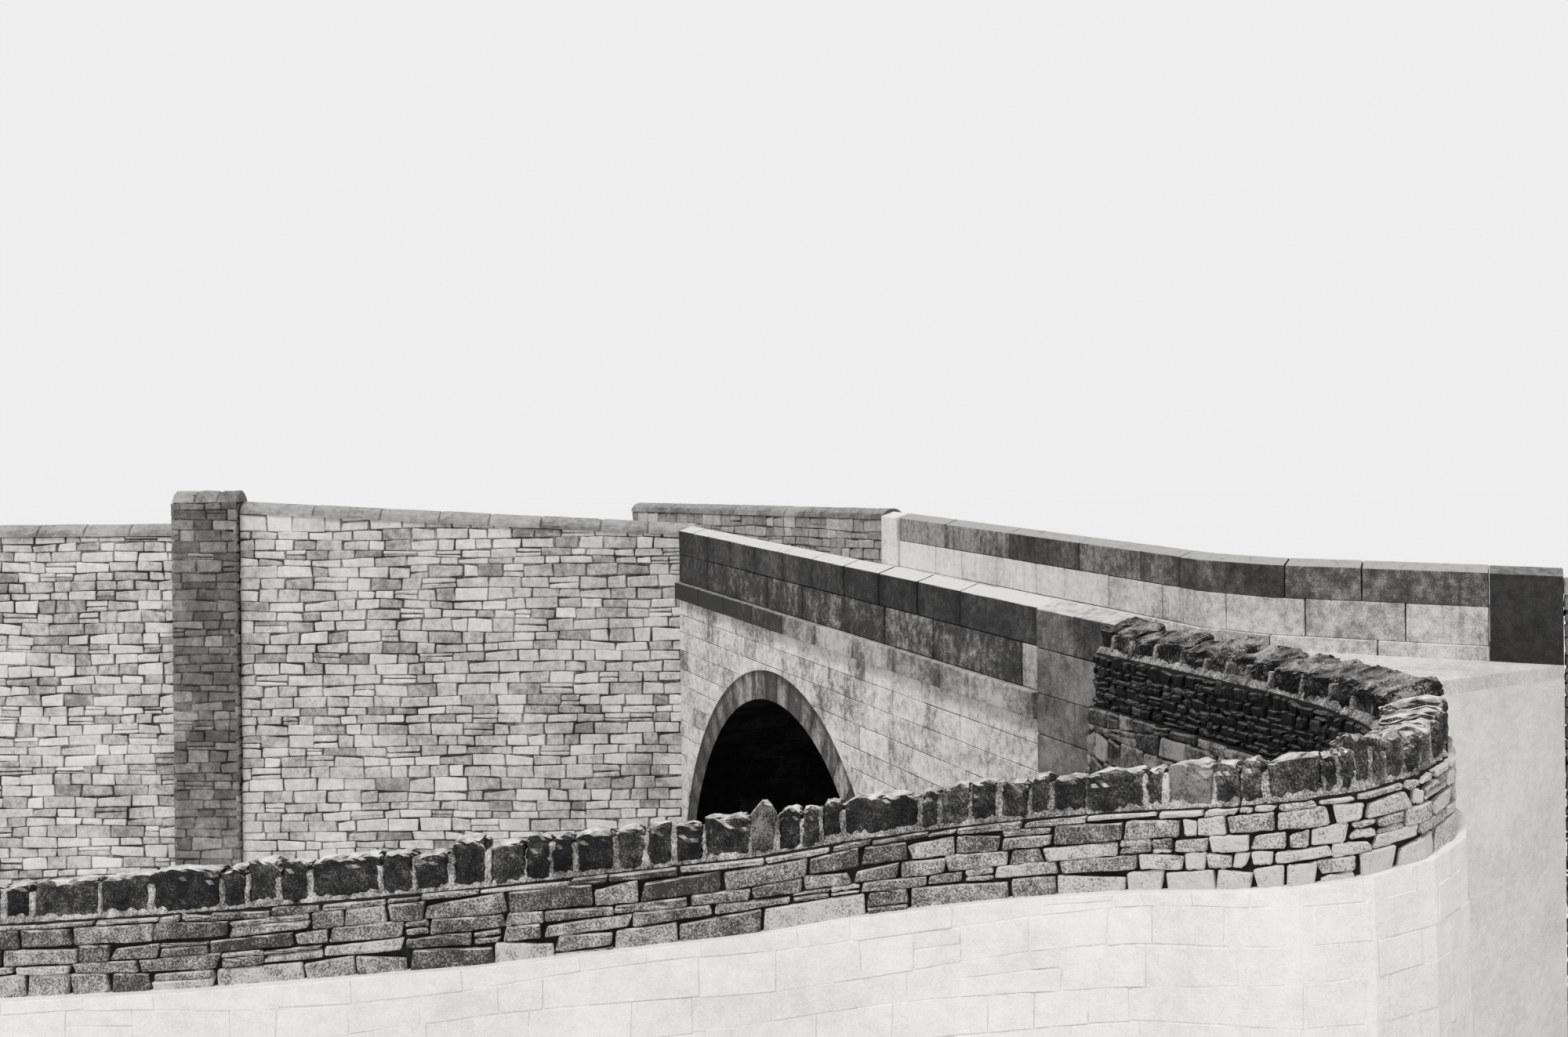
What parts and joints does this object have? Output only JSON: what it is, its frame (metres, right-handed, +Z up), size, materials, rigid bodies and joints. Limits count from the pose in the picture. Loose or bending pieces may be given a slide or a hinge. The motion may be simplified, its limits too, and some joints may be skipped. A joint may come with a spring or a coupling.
{
  "type": "packhorse bridge",
  "caption": "Single-arch stone road bridge with raked ashlar parapets, retaining walls and a curved dry-stone lane wall",
  "frame": {"origin": "middle of the foot of the right-bank abutment, on the river bed", "axes": "+X along the road towards the right bank, +Y across the bridge away from the lane wall's side, +Z up"},
  "size_m": [30.9981, 20.746, 7.802],
  "materials": {
    "sooty": "weathered gritstone, soot-darkened",
    "dressed": "tooled gritstone ashlar",
    "pale": "light sawn-faced gritstone",
    "rubble": "coursed rubble gritstone",
    "fill": "earth and rubble fill",
    "gravel": "rolled gravel",
    "lane_stone": "thin dry-stone gritstone flags",
    "lane_cope": "rough upright gritstone cope blocks"
  },
  "bodies": {
    "root": {"barrel": "rubble", "near_ring": "dressed", "far_ring": "dressed", "near_spandrel": "dressed", "far_spandrel": "rubble", "left_abutment": "rubble", "right_abutment": "rubble", "near_string": "dressed", "near_course": "sooty", "near_coping": "sooty", "near_left_pier": "sooty", "right_pilaster": "sooty", "far_string": "pale", "far_course": "pale", "far_coping": "dressed", "far_left_pier": "pale", "far_right_pier": "sooty", "flare_wing": "rubble", "flare_string": "pale", "flare_course": "pale", "flare_coping": "dressed", "road_fill": "fill", "carriageway": "gravel", "kerb_stones": "pale", "river_wall": "rubble", "river_wall_coping": "rubble", "river_wall_break": "rubble", "river_far_wall": "rubble", "river_far_coping": "rubble", "left_approach_wall": "rubble", "left_approach_coping": "rubble", "right_approach_wall": "rubble", "right_approach_coping": "rubble", "lane_wall_base": "lane_stone", "return_wall": "lane_stone", "corner_wall": "lane_stone", "front_wall": "lane_stone", "return_cope": "lane_cope", "corner_cope": "lane_cope", "front_cope": "lane_cope"}
  },
  "joints": []
}
